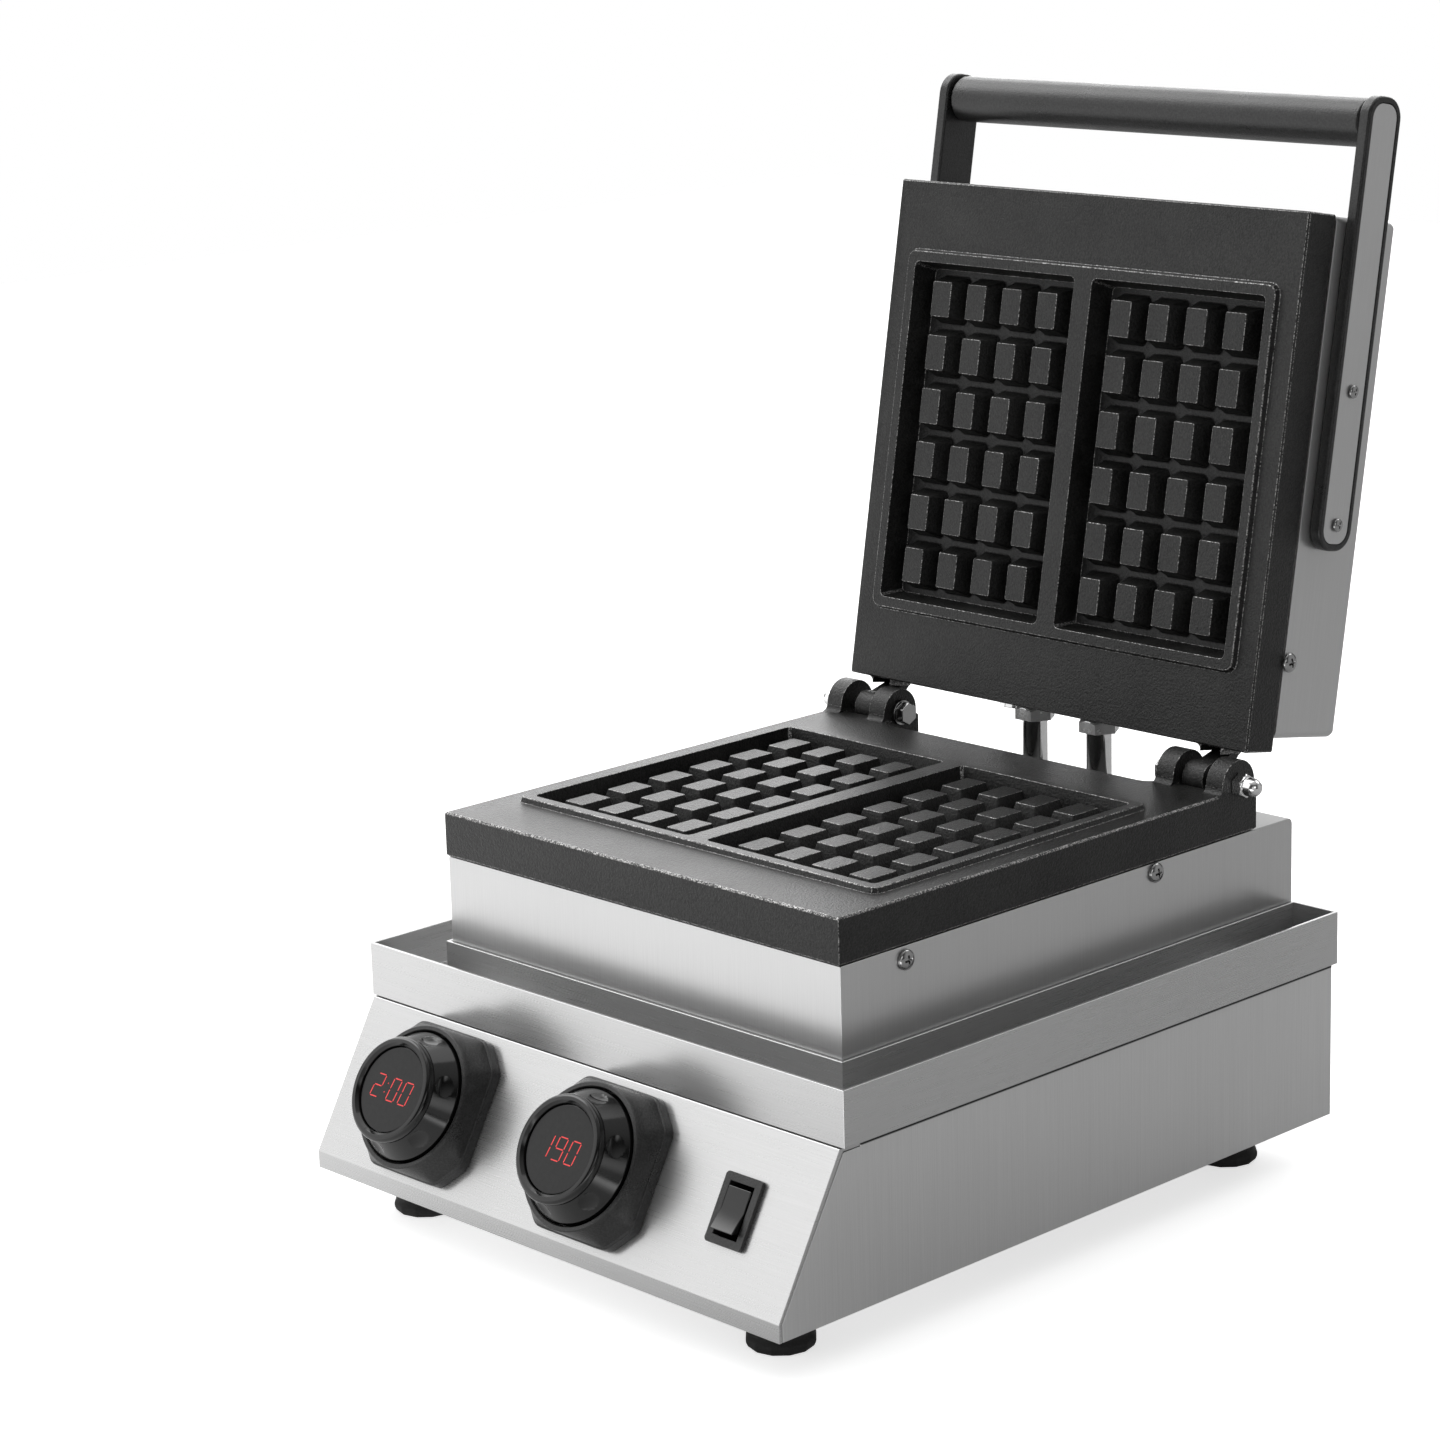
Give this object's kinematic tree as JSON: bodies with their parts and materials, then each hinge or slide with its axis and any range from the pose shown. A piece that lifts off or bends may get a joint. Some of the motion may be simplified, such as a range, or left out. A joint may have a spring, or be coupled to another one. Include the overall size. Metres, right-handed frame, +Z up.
{
  "type": "belgian waffle maker",
  "caption": "Countertop waffle maker with a hinged upper casting standing open, deep square-cell moulds, a drip tray gutter, a sloping control panel with knobs and a carrying grip.",
  "frame": {"origin": "on the table, at the middle of the outline seen from above", "axes": "+X to the machine's right as seen by its user, +Y to the back, +Z up"},
  "size_m": [0.2986, 0.4474, 0.4775],
  "materials": {
    "stainless": "brushed",
    "cast_plate": "fine cast skin, satin, worn bright at the edges",
    "chrome": "polished",
    "screw_steel": "dark polished",
    "black_plastic": "fine moulded",
    "gloss_plastic": "gloss",
    "display_window": "smoked, gloss",
    "foot_rubber": "matte",
    "heater_steel": "oxidised",
    "mineral_fibre": "matte felt",
    "circuit_board": "satin",
    "ceramic": "satin"
  },
  "bodies": {
    "base": {"plate_housing": "stainless", "drip_tray": "stainless", "body_shell": "stainless", "control_panel": "stainless", "bottom_plate": "stainless", "lower_heater_clamp": "stainless", "lower_temperature_probe": "stainless", "lower_plate": "cast_plate", "acorn_nut_left": "chrome", "acorn_nut_right": "chrome", "stop_bolt_left": "chrome", "stop_bolt_right": "chrome", "stop_sleeve_left": "chrome", "stop_sleeve_right": "chrome", "body_wiring_gland": "chrome", "hinge_bolt_left": "screw_steel", "hinge_bolt_right": "screw_steel", "housing_screw_left_front": "screw_steel", "housing_screw_left_rear": "screw_steel", "housing_screw_right_front": "screw_steel", "housing_screw_right_rear": "screw_steel", "timer_bezel": "black_plastic", "temperature_bezel": "black_plastic", "switch_frame": "black_plastic", "mains_gland": "black_plastic", "timer_display": "display_window", "temperature_display": "display_window", "foot_front_left": "foot_rubber", "foot_front_right": "foot_rubber", "foot_rear_left": "foot_rubber", "foot_rear_right": "foot_rubber", "lower_heater": "heater_steel", "lower_insulation": "mineral_fibre", "control_board": "circuit_board", "terminal_block": "ceramic"},
    "lid": {"upper_plate": "cast_plate", "lid_cover": "stainless", "upper_heater": "heater_steel", "upper_heater_clamp": "stainless", "upper_insulation": "mineral_fibre", "upper_temperature_probe": "stainless", "handle_arm_left": "black_plastic", "handle_arm_right": "black_plastic", "arm_inlay_left": "stainless", "arm_inlay_right": "stainless", "handle_grip": "black_plastic", "handle_screw_left_rear": "screw_steel", "handle_screw_right_rear": "screw_steel", "handle_screw_left_front": "screw_steel", "handle_screw_right_front": "screw_steel", "cover_screw_left": "screw_steel", "cover_screw_right": "screw_steel", "lid_wiring_gland": "chrome"},
    "timer_knob": {"timer_knob": "gloss_plastic"},
    "temperature_knob": {"temperature_knob": "gloss_plastic"},
    "power_rocker": {"power_rocker": "gloss_plastic"}
  },
  "joints": [
    {"name": "lid_hinge", "type": "hinge", "parent": "base", "child": "lid", "pos_m": [0, 0.11261, 0.18], "axis": [1, 0, 0], "range_deg": [0, 100.25]},
    {"name": "timer_turn", "type": "hinge", "parent": "base", "child": "timer_knob", "pos_m": [-0.0847, -0.18711, 0.05992], "axis": [0, -0.8695, 0.4939], "continuous": true},
    {"name": "temperature_turn", "type": "hinge", "parent": "base", "child": "temperature_knob", "pos_m": [0.0252, -0.18711, 0.05992], "axis": [0, -0.8695, 0.4939], "continuous": true},
    {"name": "power_rock", "type": "hinge", "parent": "base", "child": "power_rocker", "pos_m": [0.106, -0.18711, 0.05992], "axis": [1, 0, 0], "range_deg": [0, 16]}
  ]
}
